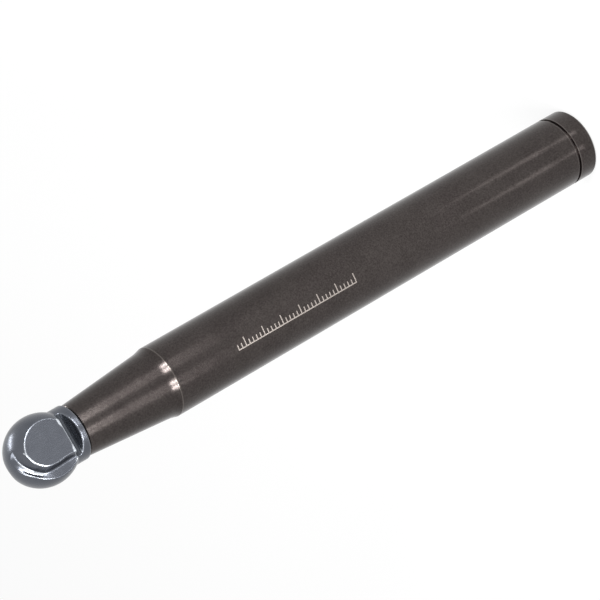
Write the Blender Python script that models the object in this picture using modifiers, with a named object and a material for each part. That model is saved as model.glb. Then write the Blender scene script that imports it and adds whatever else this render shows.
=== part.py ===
# Milling tool shank: a turned steel bar with a two-flute ball head screwed into its nose.
# Lengths are metres. +Z runs from the butt end to the tip, and the origin is the centre of the butt face.
# The head's ground flats face -Y and +Y.

import math

import bmesh
import bpy
import numpy
from mathutils import Vector

# Shank: a parallel bar, a long taper with a flared root, and the nose
shank_diameter = 0.0160
shank_length = 0.1400
butt_chamfer = 0.0005
groove_from_butt = 0.0051
groove_width = 0.0005
groove_depth = 0.0004
taper_length = 0.0220
flare_length = 0.0024
flare_rise = 0.0005
nose_chamfer = 0.0002
centre_hole_diameter = 0.0040
centre_hole_depth = 0.0050

# Head: collar and ball, turned in one piece
ball_diameter = 0.0160
ball_shoulder = 0.00185
collar_length = 0.0028
collar_chamfer = 0.0002
collar_overhang = 0.00035

# Coupling: a short locating cone and a stud in the shank's stepped bore
coupling_clearance = 0.0003
nose_wall = 0.0010
cone_length = 0.0040
cone_half_angle = math.radians(7.1)
stud_shoulder = 0.0005
stud_length = 0.0085
stud_chamfer = 0.0006
bore_run_out = 0.0015
drill_point_share = 0.30

# Ground on the front and again on the back
flat_depth = 0.00215
slot_depth = 0.00235
slot_width = 0.00235
slot_lean_share = 0.42
slot_from_rear = 0.0012
slot_corner_radius = 0.0004
flute_root_radius = 0.0006

# Stations of the flute's root: sideways from the axis, height above it, and towards the tip from the
# ball's centre, all as shares of the ball's radius, then the wall's and the rake face's angle in degrees
flute_station_shares = (
    (0.690, 0.700, -1.000, 66, 16),
    (0.560, 0.520, -0.700, 66, 12),
    (0.545, 0.475, -0.350, 62, 12),
    (0.560, 0.470, 0.050, 66, 16),
    (0.550, 0.445, 0.380, 60, 26),
    (0.388, 0.358, 0.634, 66, 36),
    (0.191, 0.317, 0.758, 70, 6),
    (-0.021, 0.285, 0.822, 72, -22),
    (-0.200, 0.315, 0.840, 72, -40),
    (-0.380, 0.400, 0.850, 70, -50),
    (-0.580, 0.500, 0.850, 68, -54),
)
flute_steps = 14
root_steps = 4
face_steps = 4
corner_steps = 4
flute_reach_share = 0.375
flute_back_share = 0.53

# Facets and cutting allowances
round_steps = 72
ball_steps = 28
flare_steps = 6
sharp_angle = math.radians(30)
cut_overrun = 0.0020
weld_distance = 0.00001

# Sizes that follow
ball_radius = ball_diameter / 2
collar_radius = ball_radius - ball_shoulder
nose_radius = collar_radius - collar_overhang
cone_radius = nose_radius - nose_wall - coupling_clearance
cone_tip_radius = cone_radius - cone_length * math.tan(cone_half_angle)
stud_radius = cone_tip_radius - stud_shoulder
head_rear = shank_length + coupling_clearance
ball_foot = head_rear + collar_length
ball_centre = ball_foot + math.sqrt(ball_radius ** 2 - collar_radius ** 2)


def clear_scene():
    for thing in list(bpy.data.objects):
        bpy.data.objects.remove(thing, do_unlink=True)


def new_collection(name):
    collection = bpy.data.collections.new(name)
    bpy.context.scene.collection.children.link(collection)
    return collection


def metal(name, colour, roughness):
    material = bpy.data.materials.new(name)
    material.use_nodes = True
    shader = material.node_tree.nodes["Principled BSDF"]
    shader.inputs["Base Color"].default_value = (*colour, 1.0)
    shader.inputs["Metallic"].default_value = 1.0
    shader.inputs["Roughness"].default_value = roughness
    return material


def mesh_object(name, mesh, collection):
    piece = bpy.data.objects.new(name, mesh)
    collection.objects.link(piece)
    return piece


# A closed turned body: the profile's points run from the top of the axis down its outer side to the foot
def turned(name, profile, collection):
    mesh = bpy.data.meshes.new(name)
    points = [(radius, 0.0, height) for radius, height in profile]
    edges = [(i, i + 1) for i in range(len(points) - 1)]
    mesh.from_pydata(points, edges, [])
    piece = mesh_object(name, mesh, collection)
    screw = piece.modifiers.new("turn", "SCREW")
    screw.axis = "Z"
    screw.angle = math.tau
    screw.steps = round_steps
    screw.render_steps = round_steps
    screw.use_merge_vertices = True
    screw.merge_threshold = weld_distance
    screw.use_smooth_shade = True
    return piece


# A bar along X. Its outline is given as heights over the axis and places along Z, on the side that faces
# along sign * Y. If corner isn't zero, it rounds the bar's edges at the height of inner
def bar_cutter(name, outline, sign, inner, corner, collection):
    mesh = bpy.data.meshes.new(name)
    beyond = ball_radius + cut_overrun
    body = bmesh.new()
    end = body.faces.new([body.verts.new((-beyond, sign * height, along)) for height, along in outline])
    far_end = bmesh.ops.extrude_face_region(body, geom=[end])["geom"]
    moved = [item for item in far_end if isinstance(item, bmesh.types.BMVert)]
    bmesh.ops.translate(body, vec=(2 * beyond, 0.0, 0.0), verts=moved)
    bmesh.ops.recalc_face_normals(body, faces=body.faces)
    if corner:
        rounded = []
        for edge in body.edges:
            one, two = (vertex.co for vertex in edge.verts)
            if one.yz == two.yz and abs(sign * one.y - inner) < weld_distance:
                rounded.append(edge)
        bmesh.ops.bevel(body, geom=rounded, offset=corner, affect="EDGES", segments=corner_steps, profile=0.5)
    body.to_mesh(mesh)
    body.free()
    return as_cutter(mesh_object(name, mesh, collection))


def as_cutter(piece):
    piece.hide_render = True
    piece.display_type = "WIRE"
    return piece


# The flute's cutter folds over itself beyond the ball, so the solver is told to allow that
def cut(piece, cutter):
    change = piece.modifiers.new("cut " + cutter.name, "BOOLEAN")
    change.operation = "DIFFERENCE"
    change.solver = "EXACT"
    change.use_self = cutter.name.startswith("flute")
    change.object = cutter


# The shank's outer profile from the mouth of the bore down to the butt, then in along the centre hole
def shank_profile():
    radius = shank_diameter / 2
    flare_top = shank_length - taper_length + flare_length
    flare_radius = radius - flare_rise
    slope = (flare_radius - nose_radius) / (shank_length - flare_top)
    bend = flare_rise - slope * flare_length
    outer = [(nose_radius - nose_chamfer, shank_length), (nose_radius, shank_length - nose_chamfer)]
    for step in range(flare_steps + 1):
        share = step / flare_steps
        outer.append((
            flare_radius + slope * flare_length * share + bend * share ** 2,
            flare_top - flare_length * share,
        ))
    groove_top = groove_from_butt + groove_width / 2
    groove_foot = groove_from_butt - groove_width / 2
    outer += [
        (radius, groove_top),
        (radius - groove_depth, groove_top),
        (radius - groove_depth, groove_foot),
        (radius, groove_foot),
        (radius, butt_chamfer),
        (radius - butt_chamfer, 0.0),
    ]
    centre_hole = [(centre_hole_diameter / 2, 0.0), (0.0, centre_hole_depth)]
    return bore_profile() + outer + centre_hole


# The stepped bore that takes the head's cone and stud, from the axis at its foot up to the mouth
def bore_profile():
    bore = stud_radius + coupling_clearance
    seat_height = shank_length - cone_length
    foot = seat_height - stud_length - bore_run_out
    return [
        (0.0, foot - bore * drill_point_share),
        (bore, foot),
        (bore, seat_height),
        (cone_tip_radius + coupling_clearance, seat_height),
        (cone_radius + coupling_clearance, shank_length),
    ]


# The head before grinding: tip, ball, collar, locating cone and stud
def head_profile():
    meet = math.pi - math.asin(collar_radius / ball_radius)
    points = [(0.0, ball_centre + ball_radius)]
    for step in range(1, ball_steps + 1):
        angle = meet * step / ball_steps
        points.append((ball_radius * math.sin(angle), ball_centre + ball_radius * math.cos(angle)))
    cone_foot = head_rear - cone_length
    stud_foot = cone_foot - stud_length
    points += [
        (collar_radius, head_rear + collar_chamfer),
        (collar_radius - collar_chamfer, head_rear),
        (cone_radius, head_rear),
        (cone_tip_radius, cone_foot),
        (stud_radius, cone_foot),
        (stud_radius, stud_foot + stud_chamfer),
        (stud_radius - stud_chamfer, stud_foot),
        (0.0, stud_foot),
    ]
    return points


# A smooth curve through the flute's stations, each a place and two angles
def flute_path():
    rows = [
        numpy.array((side, height, along, wall, rake))
        * (ball_radius, ball_radius, ball_radius, math.radians(1), math.radians(1))
        for side, height, along, wall, rake in flute_station_shares
    ]
    path = []
    for i in range(len(rows) - 1):
        before = rows[max(i - 1, 0)]
        after = rows[min(i + 2, len(rows) - 1)]
        for step in range(flute_steps):
            t = step / flute_steps
            path.append(catmull_rom(before, rows[i], rows[i + 1], after, t))
    path.append(rows[-1])
    return path


def catmull_rom(a, b, c, d, t):
    bend = 2 * a - 5 * b + 4 * c - d
    twist = 3 * b - a - 3 * c + d
    return 0.5 * (2 * b + (c - a) * t + bend * t ** 2 + twist * t ** 3)


# One cross-section of the flute: wall, rounded root, rake face, and back round outside the ball
def flute_section(place, tangent, wall, rake):
    up = Vector((0.0, 1.0, 0.0))
    up = (up - tangent * up.dot(tangent)).normalized()
    out = up.cross(tangent).normalized()
    reach = ball_diameter * flute_reach_share
    back = ball_diameter * flute_back_share
    wall_turn = math.pi - wall
    inner = (wall_turn - rake) / 2
    middle = (wall_turn + rake) / 2
    root_centre = flute_root_radius / math.sin(inner)

    def spot(angle, distance, start=Vector((0.0, 0.0, 0.0))):
        return start + (out * math.cos(angle) + up * math.sin(angle)) * distance

    centre = spot(middle, root_centre)
    start = flute_root_radius / math.tan(inner)
    rows = [reach + (start - reach) * step / face_steps for step in range(face_steps)]
    loop = [spot(wall_turn, row) for row in rows]
    for step in range(root_steps + 1):
        swing = wall_turn + math.pi / 2 + (math.pi - 2 * inner) * step / root_steps
        loop.append(spot(swing, flute_root_radius, centre))
    loop += [spot(rake, row) for row in reversed(rows)]
    loop.append(spot(middle, back))
    return [place + point for point in loop]


# The flute's cutter: its cross-sections joined along the path. turn is 0 for the front and pi for the back.
# Each is turned to the path's direction over a station either way, so that neighbours don't cross
def flute_cutter(name, turn, collection):
    path = flute_path()
    places = [Vector(row[:3]) for row in path]
    body = bmesh.new()
    loops = []
    for i, row in enumerate(path):
        ahead = places[min(i + flute_steps, len(path) - 1)]
        tangent = (ahead - places[max(i - flute_steps, 0)]).normalized()
        section = flute_section(places[i], tangent, row[3], row[4])
        loops.append([body.verts.new(to_model(point, turn)) for point in section])
    count = len(loops[0])
    for one, two in zip(loops, loops[1:]):
        for i in range(count):
            j = (i + 1) % count
            body.faces.new((one[i], one[j], two[j], two[i]))
    body.faces.new(list(reversed(loops[0])))
    body.faces.new(loops[-1])
    bmesh.ops.triangulate(body, faces=body.faces)
    bmesh.ops.recalc_face_normals(body, faces=body.faces)
    mesh = bpy.data.meshes.new(name)
    body.to_mesh(mesh)
    body.free()
    return as_cutter(mesh_object(name, mesh, collection))


# From the head's own directions (sideways, height over the axis, towards the tip) to the model's
def to_model(point, turn):
    side, height, along = point
    face = math.cos(turn)
    return Vector((-side * face, -height * face, ball_centre + along))


# The flat, and the wrench slot behind it with its leaning rear wall, on the side that faces along sign * Y
def flat_and_slot(sign, collection):
    side = "front" if sign < 0 else "back"
    beyond = ball_radius + cut_overrun
    flat_height = ball_radius - flat_depth
    slot_height = collar_radius - slot_depth
    slot_foot = head_rear + slot_from_rear
    slot_top = slot_foot + slot_width
    middle = slot_foot + slot_width / 2
    tip = ball_centre + beyond
    flat = [(beyond, middle), (flat_height, middle), (flat_height, tip), (beyond, tip)]
    slot = [
        (beyond, slot_foot - slot_lean_share * (beyond - collar_radius)),
        (slot_height, slot_foot + slot_lean_share * slot_depth),
        (slot_height, slot_top),
        (beyond, slot_top),
    ]
    return [
        bar_cutter("flat_" + side, flat, sign, flat_height, 0.0, collection),
        bar_cutter("slot_" + side, slot, sign, slot_height, slot_corner_radius, collection),
    ]


# Applies the modifiers and shades the round faces smooth, with crisp edges
def settle(piece):
    evaluated = piece.evaluated_get(bpy.context.evaluated_depsgraph_get())
    mesh = bpy.data.meshes.new_from_object(evaluated)
    mesh.name = piece.name
    piece.modifiers.clear()
    piece.data = mesh
    mesh.shade_smooth()
    mesh.set_sharp_from_angle(angle=sharp_angle)


def build():
    clear_scene()
    parts = new_collection("milling_tool_shank")
    cutters = new_collection("cutters")

    shank = turned("shank", shank_profile(), parts)
    shank.data.materials.append(metal("oxide_black_steel", (0.052, 0.046, 0.042), 0.42))

    head = turned("cutting_head", head_profile(), parts)
    head.data.materials.append(metal("ground_carbide", (0.15, 0.16, 0.175), 0.30))
    for sign in (-1, 1):
        for cutter in flat_and_slot(sign, cutters):
            cut(head, cutter)
    for name, turn in (("flute_front", 0.0), ("flute_back", math.pi)):
        cut(head, flute_cutter(name, turn, cutters))

    settle(shank)
    settle(head)


build()
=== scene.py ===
# Milling tool shank with a screwed-in ball head, dressed on its CAD frame
import math

import bmesh
import bpy
from mathutils import Matrix, Vector


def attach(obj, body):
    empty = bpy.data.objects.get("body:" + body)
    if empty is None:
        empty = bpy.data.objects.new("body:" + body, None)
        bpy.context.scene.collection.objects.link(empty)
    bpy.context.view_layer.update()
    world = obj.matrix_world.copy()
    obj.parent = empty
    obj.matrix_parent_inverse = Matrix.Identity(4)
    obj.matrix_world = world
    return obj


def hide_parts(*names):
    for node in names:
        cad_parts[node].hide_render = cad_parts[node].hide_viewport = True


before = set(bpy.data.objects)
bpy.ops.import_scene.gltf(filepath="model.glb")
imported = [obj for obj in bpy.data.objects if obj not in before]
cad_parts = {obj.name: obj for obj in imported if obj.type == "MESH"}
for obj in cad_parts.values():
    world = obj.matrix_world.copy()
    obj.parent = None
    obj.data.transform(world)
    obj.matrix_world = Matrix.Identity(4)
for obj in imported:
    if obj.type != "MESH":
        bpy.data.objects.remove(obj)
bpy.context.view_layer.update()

mm = 0.001

# the camera stands where the photograph was taken from
cameraSetup = {
    "place": (0.000076, -0.599303, 0.403988),
    "right": (-0.500798, -0.411920, -0.761265),
    "down": (-0.865564, 0.238328, 0.440452),
    "forward": (0.0, 0.879501, -0.475898),
    "pixelsOfFocus": 3223,  # on an image 600 pixels wide
    "imageWidth": 600,
    "shift": (-0.0005, 0.0003),
}
cameraData = bpy.data.cameras.new("photoCamera")
camera = bpy.data.objects.new("photoCamera", cameraData)
bpy.context.scene.collection.objects.link(camera)
cameraAxes = Matrix((
    Vector(cameraSetup["right"]),
    -Vector(cameraSetup["down"]),
    -Vector(cameraSetup["forward"]),
)).transposed()
camera.matrix_world = Matrix.Translation(cameraSetup["place"]) @ cameraAxes.to_4x4()
cameraData.sensor_width = 36
cameraData.lens = 36 * cameraSetup["pixelsOfFocus"] / cameraSetup["imageWidth"]
cameraData.shift_x, cameraData.shift_y = cameraSetup["shift"]
cameraData.clip_start = 0.01
cameraData.clip_end = 20
bpy.context.scene.camera = camera
bpy.context.scene.view_settings.view_transform = "Standard"
print("camera placed")


# sRGB hex to linear
def linear(code):
    shares = [int(code[i:i + 2], 16) / 255 for i in (1, 3, 5)]
    return tuple(s / 12.92 if s <= 0.04045 else ((s + 0.055) / 1.055) ** 2.4 for s in shares) + (1.0,)


# a node with its settings, and its inputs as values or as sockets to link from
def addNode(tree, kind, settings=None, inputs=None):
    node = tree.nodes.new(kind)
    for key, value in (settings or {}).items():
        setattr(node, key, value)
    for key, value in (inputs or {}).items():
        if isinstance(value, bpy.types.NodeSocket):
            tree.links.new(value, node.inputs[key])
        else:
            node.inputs[key].default_value = value
    return node


def newMaterial(name):
    material = bpy.data.materials.new(name)
    material.use_nodes = True
    material.node_tree.nodes.clear()
    return material


# black-oxide tool steel, turned and then ground: dark warm brown-black, satin, with the highlight drawn
# out along the bar by the fine rings that grinding leaves
oxideLook = {
    "colour": "#3a3534",
    "cloud": "#4d4846",
    # colour of worn oxide, also used as a painted highlight along the flare's end and the groove's edges
    "wornAndPaintedHighlight": "#8d8781",
    "etched": "#a29a94",
    "roughness": 0.21,
    "drawnOut": 0.1,
    "ringPitch": 0.35,  # mm, coarser than real grinding so that it shows
    "cloudSize": 9.0,  # mm
    "speckSize": 0.35,  # mm
    "speckWeight": 2.4,  # against the clouds
    "toneRange": (1.2, 2.2),
    "glossSwing": 0.04,  # either way from the roughness
    "etchedRougher": 0.2,
    "ringStrength": 0.12,
    "ringDepth": 0.004,  # mm
}

# a plain etched depth scale on the shank, in mm: heights of its ends, and arc lengths round from the front
scaleSetup = {
    "from": 70.0,
    "to": 102.0,
    "line": 0.25,  # drawn a little coarser than a laser's line
    "foot": -2.6,
    "shortTop": -1.5,
    "longTop": -0.5,
    "barRadius": 8.0,
}


# 1 on the lines of the depth scale
def etchedScale(tree, place, s):
    half = s["line"] / 2
    split = addNode(tree, "ShaderNodeSeparateXYZ", inputs={0: place})
    height = addNode(tree, "ShaderNodeMath", {"operation": "DIVIDE"}, {
        0: split.outputs["Z"], 1: mm}).outputs[0]
    front = addNode(tree, "ShaderNodeMath", {"operation": "MULTIPLY"}, {0: split.outputs["Y"], 1: -1.0})
    angle = addNode(tree, "ShaderNodeMath", {"operation": "ARCTAN2"}, {
        0: split.outputs["X"], 1: front.outputs[0]})
    arc = addNode(tree, "ShaderNodeMath", {"operation": "MULTIPLY"}, {
        0: angle.outputs[0], 1: s["barRadius"]}).outputs[0]
    lines = addNode(tree, "ShaderNodeMath", {"operation": "COMPARE"}, {
        0: arc, 1: s["foot"], 2: half}).outputs[0]
    for pitch, top in ((1.0, s["shortTop"]), (5.0, s["longTop"])):
        away = addNode(tree, "ShaderNodeMath", {"operation": "PINGPONG"}, {0: height, 1: pitch / 2})
        tick = addNode(tree, "ShaderNodeMath", {"operation": "LESS_THAN"}, {0: away.outputs[0], 1: half})
        reach = addNode(tree, "ShaderNodeMath", {"operation": "COMPARE"}, {
            0: arc, 1: (s["foot"] + top) / 2, 2: (top - s["foot"]) / 2})
        tick = addNode(tree, "ShaderNodeMath", {"operation": "MULTIPLY"}, {
            0: tick.outputs[0], 1: reach.outputs[0]})
        lines = addNode(tree, "ShaderNodeMath", {"operation": "MAXIMUM"}, {
            0: lines, 1: tick.outputs[0]}).outputs[0]
    inside = addNode(tree, "ShaderNodeMath", {"operation": "COMPARE"}, {
        0: height, 1: (s["from"] + s["to"]) / 2, 2: (s["to"] - s["from"]) / 2 + half})
    return addNode(tree, "ShaderNodeMath", {"operation": "MULTIPLY"}, {
        0: lines, 1: inside.outputs[0]}).outputs[0]


def oxideSteel():
    material = newMaterial("blackOxideToolSteel")
    tree = material.node_tree
    place = addNode(tree, "ShaderNodeTexCoord").outputs["Object"]
    rings = addNode(tree, "ShaderNodeMapping", inputs={"Vector": place, "Scale": (12, 12, 1 / mm)})
    ringNoise = addNode(tree, "ShaderNodeTexNoise", inputs={
        "Vector": rings.outputs[0], "Scale": 1 / oxideLook["ringPitch"], "Detail": 3.0})
    clouds = addNode(tree, "ShaderNodeTexNoise", inputs={
        "Vector": place, "Scale": 1 / (oxideLook["cloudSize"] * mm), "Detail": 4.0, "Roughness": 0.6})
    specks = addNode(tree, "ShaderNodeTexNoise", inputs={
        "Vector": place, "Scale": 1 / (oxideLook["speckSize"] * mm), "Detail": 2.0})
    tone = addNode(tree, "ShaderNodeMath", {"operation": "MULTIPLY_ADD"}, {
        0: specks.outputs["Fac"], 1: oxideLook["speckWeight"], 2: clouds.outputs["Fac"]})
    darkest, palest = oxideLook["toneRange"]
    tone = addNode(tree, "ShaderNodeMapRange", inputs={
        "Value": tone.outputs[0], "From Min": darkest, "From Max": palest})
    colour = addNode(tree, "ShaderNodeMix", {"data_type": "RGBA"}, {
        0: tone.outputs[0], 6: linear(oxideLook["colour"]), 7: linear(oxideLook["cloud"])})
    # edge colour: partly real wear of the oxide, partly a painted highlight
    wearAndPaintedHighlight = addNode(tree, "ShaderNodeAttribute", {"attribute_name": "wearAndPaintedHighlight"})
    colour = addNode(tree, "ShaderNodeMix", {"data_type": "RGBA"}, {
        0: wearAndPaintedHighlight.outputs["Fac"], 6: colour.outputs[2], 7: linear(oxideLook["wornAndPaintedHighlight"])})
    etched = etchedScale(tree, place, scaleSetup)
    colour = addNode(tree, "ShaderNodeMix", {"data_type": "RGBA"}, {
        0: etched, 6: colour.outputs[2], 7: linear(oxideLook["etched"])})
    gloss = addNode(tree, "ShaderNodeMapRange", inputs={
        "Value": clouds.outputs["Fac"],
        "To Min": oxideLook["roughness"] - oxideLook["glossSwing"],
        "To Max": oxideLook["roughness"] + oxideLook["glossSwing"]})
    gloss = addNode(tree, "ShaderNodeMath", {"operation": "MULTIPLY_ADD"}, {
        0: etched, 1: oxideLook["etchedRougher"], 2: gloss.outputs[0]})
    bump = addNode(tree, "ShaderNodeBump", inputs={
        "Height": ringNoise.outputs["Fac"], "Strength": oxideLook["ringStrength"],
        "Distance": oxideLook["ringDepth"] * mm})
    tangent = addNode(tree, "ShaderNodeTangent", {"direction_type": "RADIAL", "axis": "Z"})
    shader = addNode(tree, "ShaderNodeBsdfPrincipled", inputs={
        "Base Color": colour.outputs[2], "Metallic": 1.0, "Roughness": gloss.outputs[0],
        "Anisotropic": oxideLook["drawnOut"], "Anisotropic Rotation": 0.0,
        "Normal": bump.outputs[0], "Tangent": tangent.outputs[0]})
    addNode(tree, "ShaderNodeOutputMaterial", inputs={"Surface": shader.outputs[0]})
    return material


# ground cemented carbide: cool blue-gray, finer grained and brighter than the shank, with painted highlights
# along its edges and flute roots and painted shade on its slot floors
carbideLook = {
    "colour": "#55585f",
    "cloud": "#63666d",
    "roughness": 0.27,
    # colour of the painted highlight on the edges and flute roots
    "edge": "#c4c9cf",
    # colour of the painted shade on the slot floors
    "paintedShade": "#43464b",
    "grindPitch": 0.12,  # mm, coarser than real grinding so that it shows
    "cloudSize": 2.5,  # mm
    "glossSwing": 0.04,
    "grindStrength": 0.10,
    "grindDepth": 0.003,  # mm
}


def groundCarbide():
    material = newMaterial("groundCementedCarbide")
    tree = material.node_tree
    place = addNode(tree, "ShaderNodeTexCoord").outputs["Object"]
    lines = addNode(tree, "ShaderNodeMapping", inputs={"Vector": place, "Scale": (1 / mm, 60, 60)})
    lineNoise = addNode(tree, "ShaderNodeTexNoise", inputs={
        "Vector": lines.outputs[0], "Scale": 1 / carbideLook["grindPitch"], "Detail": 2.0})
    clouds = addNode(tree, "ShaderNodeTexNoise", inputs={
        "Vector": place, "Scale": 1 / (carbideLook["cloudSize"] * mm), "Detail": 5.0})
    colour = addNode(tree, "ShaderNodeMix", {"data_type": "RGBA"}, {
        0: clouds.outputs["Fac"], 6: linear(carbideLook["colour"]), 7: linear(carbideLook["cloud"])})
    # painted highlight along the ground edges and flute roots
    wearAndPaintedHighlight = addNode(tree, "ShaderNodeAttribute", {"attribute_name": "wearAndPaintedHighlight"})
    colour = addNode(tree, "ShaderNodeMix", {"data_type": "RGBA"}, {
        0: wearAndPaintedHighlight.outputs["Fac"], 6: colour.outputs[2], 7: linear(carbideLook["edge"])})
    # painted shade on the slot floors
    paintedShade = addNode(tree, "ShaderNodeAttribute", {"attribute_name": "paintedShade"})
    colour = addNode(tree, "ShaderNodeMix", {"data_type": "RGBA"}, {
        0: paintedShade.outputs["Fac"], 6: colour.outputs[2], 7: linear(carbideLook["paintedShade"])})
    gloss = addNode(tree, "ShaderNodeMapRange", inputs={
        "Value": lineNoise.outputs["Fac"],
        "To Min": carbideLook["roughness"] - carbideLook["glossSwing"],
        "To Max": carbideLook["roughness"] + carbideLook["glossSwing"]})
    bump = addNode(tree, "ShaderNodeBump", inputs={
        "Height": lineNoise.outputs["Fac"], "Strength": carbideLook["grindStrength"],
        "Distance": carbideLook["grindDepth"] * mm})
    shader = addNode(tree, "ShaderNodeBsdfPrincipled", inputs={
        "Base Color": colour.outputs[2], "Metallic": 1.0, "Roughness": gloss.outputs[0],
        "Normal": bump.outputs[0]})
    addNode(tree, "ShaderNodeOutputMaterial", inputs={"Surface": shader.outputs[0]})
    return material


oxide = oxideSteel()
carbide = groundCarbide()
print("materials made")


# spins the open wire of a profile round the Z axis. A row is a radius and a height in mm, and the share of
# worn colour there if there is any, partly real wear of the oxide and partly a painted highlight on the
# edges
def turnedMesh(name, profile, steps):
    shape = bmesh.new()
    wearAndPaintedHighlight = shape.verts.layers.float.new("wearAndPaintedHighlight")
    points = []
    for radius, height, *wornAndPaintedHighlight in profile:
        points.append(shape.verts.new((radius * mm, 0.0, height * mm)))
        points[-1][wearAndPaintedHighlight] = sum(wornAndPaintedHighlight)
    wire = [shape.edges.new(pair) for pair in zip(points, points[1:])]
    bmesh.ops.spin(shape, geom=points + wire, cent=(0, 0, 0), axis=(0, 0, 1), dvec=(0, 0, 0),
                   angle=math.tau, steps=steps, use_merge=True)
    bmesh.ops.remove_doubles(shape, verts=shape.verts, dist=0.001 * mm)
    bmesh.ops.recalc_face_normals(shape, faces=shape.faces)
    mesh = bpy.data.meshes.new(name)
    shape.to_mesh(mesh)
    shape.free()
    return mesh


def addPiece(name, mesh, material=None):
    piece = bpy.data.objects.new(name, mesh)
    bpy.context.scene.collection.objects.link(piece)
    if material:
        mesh.materials.append(material)
    return piece


# everything on the shank is turned about one axis, in mm from the butt face
shankSetup = {
    "radius": 8.0,
    "length": 140.0,
    "buttChamfer": 0.5,
    "edgeRound": 0.06,
    # width of the worn band with its painted highlight beside an edge
    "wearAndHighlightWidth": 0.25,
    "grooveMiddle": 5.1,
    "grooveWidth": 0.7,
    "grooveDepth": 0.4,
    "taperLength": 22.0,
    "flareLength": 2.4,
    "flareRise": 0.5,
    "noseRadius": 5.8,
    "noseChamfer": 0.2,
    "boreMouth": 4.8,
    "boreSeat": 4.3,
    "boreDepth": 14.0,
    "boreRadius": 3.8,
    "centreHole": (2.0, 5.0),  # radius and depth
    "steps": 192,
    "flareSteps": 16,
}


def shankProfile(s):
    top = s["length"]
    flareTop = top - s["taperLength"] + s["flareLength"]
    flareRadius = s["radius"] - s["flareRise"]
    slope = (flareRadius - s["noseRadius"]) / (top - flareTop)
    bend = s["flareRise"] - slope * s["flareLength"]
    profile = [
        (0.0, top - s["boreDepth"]), (s["boreRadius"], top - s["boreDepth"]),
        (s["boreRadius"], top - 4.0), (s["boreSeat"], top - 4.0), (s["boreMouth"], top),
        (s["noseRadius"] - s["noseChamfer"], top), (s["noseRadius"], top - s["noseChamfer"]),
    ]
    for i in range(s["flareSteps"] + 1):
        share = i / s["flareSteps"]
        radius = flareRadius + slope * s["flareLength"] * share + bend * share ** 2
        profile.append((radius, flareTop - s["flareLength"] * share))
    # painted highlight line along the flare's sharp end
    profile[-1] += (0.35,)
    profile.append((s["radius"], flareTop - s["flareLength"] - s["wearAndHighlightWidth"]))
    upper = s["grooveMiddle"] + s["grooveWidth"] / 2
    lower = s["grooveMiddle"] - s["grooveWidth"] / 2
    floor = s["radius"] - s["grooveDepth"]
    r = s["radius"]
    e = s["edgeRound"]
    w = s["wearAndHighlightWidth"]
    chamfer = s["buttChamfer"]
    # the groove's edges get worn colour with a painted highlight, the butt chamfer a faint one
    profile += [
        (r, upper + e + w), (r, upper + e, 0.25), (r - e, upper, 0.2), (r - e - 0.05, upper), (floor, upper),
        (floor, lower), (r - e - 0.05, lower), (r - e, lower, 0.2), (r, lower - e, 0.25), (r, lower - e - w),
        (r, chamfer + e + w), (r, chamfer + e, 0.1), (r - e, chamfer - e, 0.1), (r - chamfer + e, e, 0.1),
        (r - chamfer - e, 0.0, 0.1), (r - chamfer - e - w, 0.0),
        (s["centreHole"][0], 0.0), (0.0, s["centreHole"][1]),
    ]
    return profile


shank = addPiece("shankBar", turnedMesh("shankBar", shankProfile(shankSetup), shankSetup["steps"]), oxide)
shank.data.shade_smooth()
shank.data.set_sharp_from_angle(angle=math.radians(12))
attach(shank, "root")
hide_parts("shank")
print("shank turned")

# the head: turned ball, collar and stud, then ground on two sides. mm
headSetup = {
    "ballRadius": 8.0,
    "ballSide": 7.62,  # slimmer than the nominal radius, fitted to the ball's outline in the photograph
    "collarRadius": 6.15,
    "ballFoot": 143.1,
    "rear": 140.2,
    "collarChamfer": 0.2,
    "coneRadius": 4.5,
    "coneTip": 4.0,
    "coneLength": 4.0,
    "studRadius": 3.5,
    "studLength": 8.5,
    "studChamfer": 0.6,
    "flatHeight": 5.4,
    "slotHeight": 3.8,
    "slotFoot": 141.5,  # at the collar's surface, and leaning from there
    "slotLean": 0.42,
    "slotTop": 143.85,
    "slotCorner": 0.4,
    "rootRadius": 0.6,
    "reach": 6.0,
    "back": 8.5,
    "voxel": 0.13,
    "edgeBend": (0.5, 1.35),  # turn per mm at which an edge's painted highlight begins, and is full
    "lipBend": (1.6, 3.0),  # the same for the cutting edges
    "rootBend": (0.65, 1.05),  # and for the painted highlight in the root of a flute, which bends inward
    "steps": 192,
    "ballSteps": 96,
    "fluteSteps": 14,
    "wallSteps": 4,
    "rootSteps": 8,
    # sideways, height and along from the ball's centre as shares of its radius, wall and rake in degrees
    "flute": (
        (0.690, 0.700, -1.000, 66, 8), (0.560, 0.520, -0.700, 66, 4), (0.545, 0.475, -0.350, 62, 2),
        (0.560, 0.470, 0.050, 66, 2), (0.550, 0.445, 0.380, 60, 14), (0.388, 0.358, 0.634, 66, 36),
        (0.191, 0.317, 0.758, 70, 6), (-0.021, 0.285, 0.822, 72, -22), (-0.200, 0.315, 0.840, 72, -40),
        (-0.380, 0.400, 0.850, 70, -50), (-0.580, 0.500, 0.850, 68, -54),
    ),
}
ballCentre = headSetup["ballFoot"] + math.sqrt(headSetup["ballRadius"] ** 2 - headSetup["collarRadius"] ** 2)


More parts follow.
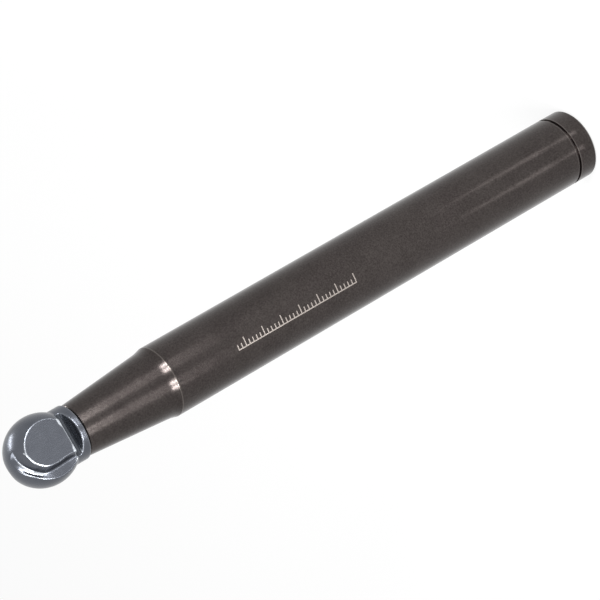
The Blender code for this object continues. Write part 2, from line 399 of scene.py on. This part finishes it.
def headProfile(h):
    meet = math.pi - math.asin(h["collarRadius"] / h["ballSide"])
    profile = [(0.0, ballCentre + h["ballRadius"])]
    for i in range(1, h["ballSteps"] + 1):
        angle = meet * i / h["ballSteps"]
        profile.append((h["ballSide"] * math.sin(angle), ballCentre + h["ballRadius"] * math.cos(angle)))
    coneFoot = h["rear"] - h["coneLength"]
    studFoot = coneFoot - h["studLength"]
    chamfer, point = h["collarChamfer"], h["studChamfer"]
    return profile + [
        (h["collarRadius"], h["rear"] + chamfer), (h["collarRadius"] - chamfer, h["rear"]),
        (h["coneRadius"], h["rear"]), (h["coneTip"], coneFoot), (h["studRadius"], coneFoot),
        (h["studRadius"], studFoot + point), (h["studRadius"] - point, studFoot), (0.0, studFoot),
    ]


# a smooth curve through the stations
def smoothPath(stations, steps):
    rows = [Vector(s[:3]).to_tuple() + tuple(s[3:]) for s in stations]
    path = []
    for i in range(len(rows) - 1):
        a, b, c, d = rows[max(i - 1, 0)], rows[i], rows[i + 1], rows[min(i + 2, len(rows) - 1)]
        for step in range(steps):
            t = step / steps
            path.append([
                0.5 * (2 * q + (r - p) * t + (2 * p - 5 * q + 4 * r - s) * t * t
                       + (3 * q - p - 3 * r + s) * t ** 3)
                for p, q, r, s in zip(a, b, c, d)])
    path.append(list(rows[-1]))
    return path


# the grinding wheel's path: each cross-section is a ring of points, turned to the path's direction over a
# station either way so that neighbours don't cross, and the rings are bridged
def fluteCutter(name, h, turn):
    path = smoothPath(h["flute"], h["fluteSteps"])
    spots = [Vector(row[:3]) * h["ballRadius"] for row in path]
    shape = bmesh.new()
    rings = []
    for i, row in enumerate(path):
        ahead = spots[min(i + h["fluteSteps"], len(path) - 1)]
        tangent = (ahead - spots[max(i - h["fluteSteps"], 0)]).normalized()
        up = Vector((0, 1, 0))
        up = (up - tangent * up.dot(tangent)).normalized()
        out = up.cross(tangent).normalized()
        wall = math.pi - math.radians(row[3])
        rake = math.radians(row[4])
        inner = (wall - rake) / 2
        middle = (wall + rake) / 2

        def spot(angle, distance):
            return (out * math.cos(angle) + up * math.sin(angle)) * distance

        centre = spot(middle, h["rootRadius"] / math.sin(inner))
        start = h["rootRadius"] / math.tan(inner)
        shares = [k / h["wallSteps"] for k in range(h["wallSteps"])]
        loop = [spot(wall, h["reach"] + (start - h["reach"]) * share) for share in shares]
        for step in range(h["rootSteps"] + 1):
            swing = wall + math.pi / 2 + (math.pi - 2 * inner) * step / h["rootSteps"]
            loop.append(centre + spot(swing, h["rootRadius"]))
        loop += [spot(rake, h["reach"] + (start - h["reach"]) * share) for share in reversed(shares)]
        loop.append(spot(middle, h["back"]))
        ring = []
        for point in loop:
            side, height, along = spots[i] + point
            ring.append(shape.verts.new((-side * turn * mm, -height * turn * mm, (ballCentre + along) * mm)))
        rings.append([shape.edges.new(pair) for pair in zip(ring, ring[1:] + ring[:1])])
    for one, two in zip(rings, rings[1:]):
        bmesh.ops.bridge_loops(shape, edges=one + two)
    bmesh.ops.holes_fill(shape, edges=[e for e in shape.edges if e.is_boundary])
    bmesh.ops.triangulate(shape, faces=shape.faces)
    bmesh.ops.recalc_face_normals(shape, faces=shape.faces)
    mesh = bpy.data.meshes.new(name)
    shape.to_mesh(mesh)
    shape.free()
    return addPiece(name, mesh)


# a bar along X: its outline is given as height and place along Z, on one side of the head
def barCutter(name, outline, side, far, inner, corner):
    shape = bmesh.new()
    ring = [shape.verts.new((-far * mm, side * height * mm, z * mm)) for height, z in outline]
    face = shape.faces.new(ring)
    made = bmesh.ops.extrude_face_region(shape, geom=[face])["geom"]
    moved = [v for v in made if isinstance(v, bmesh.types.BMVert)]
    bmesh.ops.translate(shape, vec=(2 * far * mm, 0, 0), verts=moved)
    bmesh.ops.recalc_face_normals(shape, faces=shape.faces)
    if corner:
        edges = [e for e in shape.edges
                 if abs(e.verts[0].co.x - e.verts[1].co.x) > mm
                 and abs(abs(e.verts[0].co.y) - inner * mm) < 0.01 * mm]
        bmesh.ops.bevel(shape, geom=edges, offset=corner * mm, affect="EDGES", segments=8,
                        profile=0.5, material=-1)
    mesh = bpy.data.meshes.new(name)
    shape.to_mesh(mesh)
    shape.free()
    return addPiece(name, mesh)


# bakes a piece's modifiers into its mesh
def applyAll(piece):
    made = bpy.data.meshes.new_from_object(piece.evaluated_get(bpy.context.evaluated_depsgraph_get()))
    piece.modifiers.clear()
    piece.data = made


def groundHead(h):
    head = addPiece("ballHead", turnedMesh("ballHead", headProfile(h), h["steps"]), carbide)
    cutters = []
    far = h["ballRadius"] + 2
    for turn in (1, -1):
        flat, slot, top = h["flatHeight"], h["slotHeight"], h["slotTop"]
        lean = [(z, h["slotFoot"] + h["slotLean"] * (h["collarRadius"] - z)) for z in (far, slot)]
        tip = ballCentre + far
        middle = (h["slotFoot"] + top) / 2
        flatOutline = [(far, middle), (flat, middle), (flat, tip), (far, tip)]
        slotOutline = lean + [(slot, top), (far, top)]
        cutters.append(barCutter("flatCutter", flatOutline, -turn, far, flat, 0))
        cutters.append(barCutter("slotCutter", slotOutline, -turn, far, slot, h["slotCorner"]))
        cutters.append(fluteCutter("fluteCutter", h, turn))
    for cutter in cutters:
        cut = head.modifiers.new("cut", "BOOLEAN")
        cut.operation = "DIFFERENCE"
        cut.solver = "EXACT"
        cut.use_self = cutter.name.startswith("flute")
        cut.object = cutter
    applyAll(head)
    for cutter in cutters:
        bpy.data.objects.remove(cutter, do_unlink=True)
    return head


# how far the value has come from one limit to the other, from 0 to 1
def stepBetween(value, low, high):
    return min(max((value - low) / (high - low), 0.0), 1.0)


# painted highlights on the ground edges, where the surface bends outward sharply, with how bright each
# stretch of them is judged from the photograph, and along the flute roots, where it bends inward. Places are
# in mm: z up the tool, side across the head towards the cutting edge, height from the middle out. The slot's
# floor gets painted shade and its leaning side a faint painted highlight
def markEdges(mesh, h):
    shape = bmesh.new()
    shape.from_mesh(mesh)
    bends = [
        sum(e.calc_face_angle_signed(0) / e.calc_length() for e in v.link_edges) / len(v.link_edges) * mm
        for v in shape.verts]
    around = [[edge.other_vert(v).index for edge in v.link_edges] for v in shape.verts]
    for sweep in range(2):
        bends = [
            (2 * bend + sum(bends[i] for i in near)) / (2 + len(near))
            for bend, near in zip(bends, around)]
    wearAndPaintedHighlight = []
    paintedShade = []
    for point in shape.verts:
        x, y, z = point.co / mm
        side = x if y > 0 else -x
        height = abs(y)
        share = stepBetween(bends[point.index], *h["edgeBend"])
        if z < h["slotTop"] - 0.3:  # collar
            share *= 0.1
        elif z < h["slotTop"] + 0.6:  # between the slot and the flat
            share *= 0.85
            # a wider painted highlight strip on the flat along the slot's edge, broadest towards its ends
            if height > h["flatHeight"] - 0.1:
                wornAndPaintedHighlight = 0.25 + 0.45 * stepBetween(abs(x), 1.8, 3.0)
                strip = 0.6 + 0.4 * stepBetween(abs(x), 1.6, 2.6)
                share = max(share, strip * stepBetween(h["slotTop"] + wornAndPaintedHighlight - z, 0.0, 0.15))
        elif height > h["flatHeight"] - 0.4:  # the flat's rim
            share *= 0.12 + 0.88 * stepBetween(side, -3.2, -1.2)
            share *= 1.0 - 0.9 * stepBetween(side, 2.2, 3.1) * stepBetween(-z, -151.6, -150.4)
        else:  # the flutes' cutting edges and roots
            share = stepBetween(bends[point.index], *h["lipBend"]) * stepBetween(side, 0.8, 2.2)
            # painted highlight along the flute's concave root
            root = 0.9 * stepBetween(-bends[point.index], *h["rootBend"])
            share = max(share, root * stepBetween(side, -3.0, -2.2))
            share *= stepBetween(z, 150.2, 152.4)
        inCollar = math.hypot(x, y) < h["collarRadius"] - 0.15
        sunken = inCollar and h["slotFoot"] < z < h["slotTop"] + 0.05
        floored = height < h["slotHeight"] + 0.2
        leaning = sunken and not floored and height < h["flatHeight"] - 0.15
        # painted shade on the slot's floor, and a faint painted highlight on its leaning side
        paintedShade.append(1.0 if sunken and floored else 0.0)
        wearAndPaintedHighlight.append(max(share, 0.25) if leaning else share)
    shape.free()
    mesh.attributes.new("wearAndPaintedHighlight", "FLOAT", "POINT").data.foreach_set("value", wearAndPaintedHighlight)
    mesh.attributes.new("paintedShade", "FLOAT", "POINT").data.foreach_set("value", paintedShade)


head = groundHead(headSetup)
print("head cut,", len(head.data.polygons), "faces")
even = head.modifiers.new("even", "REMESH")
even.mode = "VOXEL"
even.voxel_size = headSetup["voxel"] * mm
even.adaptivity = 0
soften = head.modifiers.new("soften", "SMOOTH")
soften.factor = 0.5
soften.iterations = 3
applyAll(head)
markEdges(head.data, headSetup)
head.data.shade_smooth()
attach(head, "root")
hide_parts("cutting_head")
print("head ground,", len(head.data.polygons), "faces")

# a white floor that keeps the shadow, and soft lamps
floorShape = bmesh.new()
bmesh.ops.create_grid(floorShape, x_segments=1, y_segments=1, size=4)
floorMesh = bpy.data.meshes.new("floor")
floorShape.to_mesh(floorMesh)
floorShape.free()
floor = addPiece("floor", floorMesh)
floorLook = newMaterial("whitePaper")
tree = floorLook.node_tree
path = addNode(tree, "ShaderNodeLightPath")
seen = addNode(tree, "ShaderNodeMath", {"operation": "MAXIMUM"}, {
    0: path.outputs["Is Camera Ray"], 1: path.outputs["Is Glossy Ray"]})
seen = addNode(tree, "ShaderNodeMath", {"operation": "MAXIMUM"}, {
    0: seen.outputs[0], 1: path.outputs["Is Transmission Ray"]})
share = addNode(tree, "ShaderNodeMath", {"operation": "MULTIPLY"}, {0: seen.outputs[0], 1: 0.75})
glow = addNode(tree, "ShaderNodeEmission", inputs={"Color": (1, 1, 1, 1), "Strength": 1.0})
paper = addNode(tree, "ShaderNodeBsdfDiffuse", inputs={"Color": (0.8, 0.8, 0.8, 1)})
both = addNode(tree, "ShaderNodeMixShader", inputs={
    0: share.outputs[0], 1: paper.outputs[0], 2: glow.outputs[0]})
addNode(tree, "ShaderNodeOutputMaterial", inputs={"Surface": both.outputs[0]})
floorMesh.materials.append(floorLook)

world = bpy.data.worlds.new("paleRoom")
bpy.context.scene.world = world
world.use_nodes = True
tree = world.node_tree
tree.nodes.clear()
path = addNode(tree, "ShaderNodeLightPath")
plain = addNode(tree, "ShaderNodeBackground", inputs={"Color": (1, 1, 1, 1), "Strength": 0.8})
white = addNode(tree, "ShaderNodeBackground", inputs={"Color": (1, 1, 1, 1), "Strength": 1.0})
seen = addNode(tree, "ShaderNodeMath", {"operation": "MAXIMUM"}, {
    0: path.outputs["Is Camera Ray"], 1: path.outputs["Is Glossy Ray"]})
seen = addNode(tree, "ShaderNodeMath", {"operation": "MAXIMUM"}, {
    0: seen.outputs[0], 1: path.outputs["Is Transmission Ray"]})
both = addNode(tree, "ShaderNodeMixShader", inputs={
    0: seen.outputs[0], 1: plain.outputs[0], 2: white.outputs[0]})
addNode(tree, "ShaderNodeOutputWorld", inputs={"Surface": both.outputs[0]})

# each lamp: where it stands, what it faces, which way its long side lies, width and length in metres, watts.
# All but the top box and the rim strip are small, and stand where the main view sees them mirrored
lampSetup = {
    "leftCard": ((0.1221, -0.2296, 0.050), (0, 0, 0.132), (0, 0, 1), (0.078, 0.016), 0.0030),
    "rightCard": ((-0.1221, -0.2296, 0.050), (0, 0, 0.132), (0, 0, 1), (0.078, 0.016), 0.0030),
    "leftCollarOut": ((0.0871, -0.1221, 0.0632), (0, 0, 0.141), (0, 0, 1), (0.0213, 0.0085), 0.0085),
    "leftCollarIn": ((0.0525, -0.1405, 0.0632), (0, 0, 0.141), (0, 0, 1), (0.0213, 0.0085), 0.0085),
    "rightCollarIn": ((-0.0525, -0.1405, 0.0632), (0, 0, 0.141), (0, 0, 1), (0.0213, 0.0085), 0.0085),
    "rightCollarOut": ((-0.0871, -0.1221, 0.0632), (0, 0, 0.141), (0, 0, 1), (0.0213, 0.0085), 0.0085),
    "leftSparkOut": ((0.145, -0.204, 0.131), (0, 0, 0.12), (0, 0, 1), (0.036, 0.072), 0.25),
    "leftSparkIn": ((0.087, -0.234, 0.131), (0, 0, 0.12), (0, 0, 1), (0.036, 0.072), 0.25),
    "rightSparkIn": ((-0.087, -0.234, 0.131), (0, 0, 0.12), (0, 0, 1), (0.036, 0.072), 0.25),
    "rightSparkOut": ((-0.145, -0.204, 0.131), (0, 0, 0.12), (0, 0, 1), (0.036, 0.072), 0.25),
    "topBox": ((-0.168, -0.097, 0.498), (0, 0, 0.148), (0, 1, 0), (0.22, 0.22), 0.80),
    "leftNear": ((0.0066, -0.0166, 0.001), (0.0066, -0.0166, 1.0),
                 (0.485, -0.875, 0), (0.0016, 0.014), 0.00010),
    "rightNear": ((-0.0066, -0.0166, 0.001), (-0.0066, -0.0166, 1.0),
                  (-0.485, -0.875, 0), (0.0016, 0.014), 0.00010),
    "leftFar": ((0.0201, -0.0419, 0.001), (0.0201, -0.0419, 1.0),
                (0.485, -0.875, 0), (0.0050, 0.042), 0.0011),
    "rightFar": ((-0.0201, -0.0419, 0.001), (-0.0201, -0.0419, 1.0),
                 (-0.485, -0.875, 0), (0.0050, 0.042), 0.0011),
    "rimStrip": ((0.41, 0.34, 0.42), (0, 0, 0.14), (0, 0, 1), (0.07, 0.30), 1.0),
}
for name, (place, target, along, size, watts) in lampSetup.items():
    lamp = bpy.data.lights.new(name, "AREA")
    lamp.shape = "RECTANGLE"
    lamp.size, lamp.size_y = size
    lamp.energy = watts
    holder = bpy.data.objects.new(name, lamp)
    bpy.context.scene.collection.objects.link(holder)
    back = (Vector(place) - Vector(target)).normalized()
    across = Vector(along).cross(back).normalized()
    turn = Matrix((across, back.cross(across), back)).transposed()
    holder.matrix_world = Matrix.Translation(place) @ turn.to_4x4()
    holder.visible_camera = False
print("stage and lamps set")
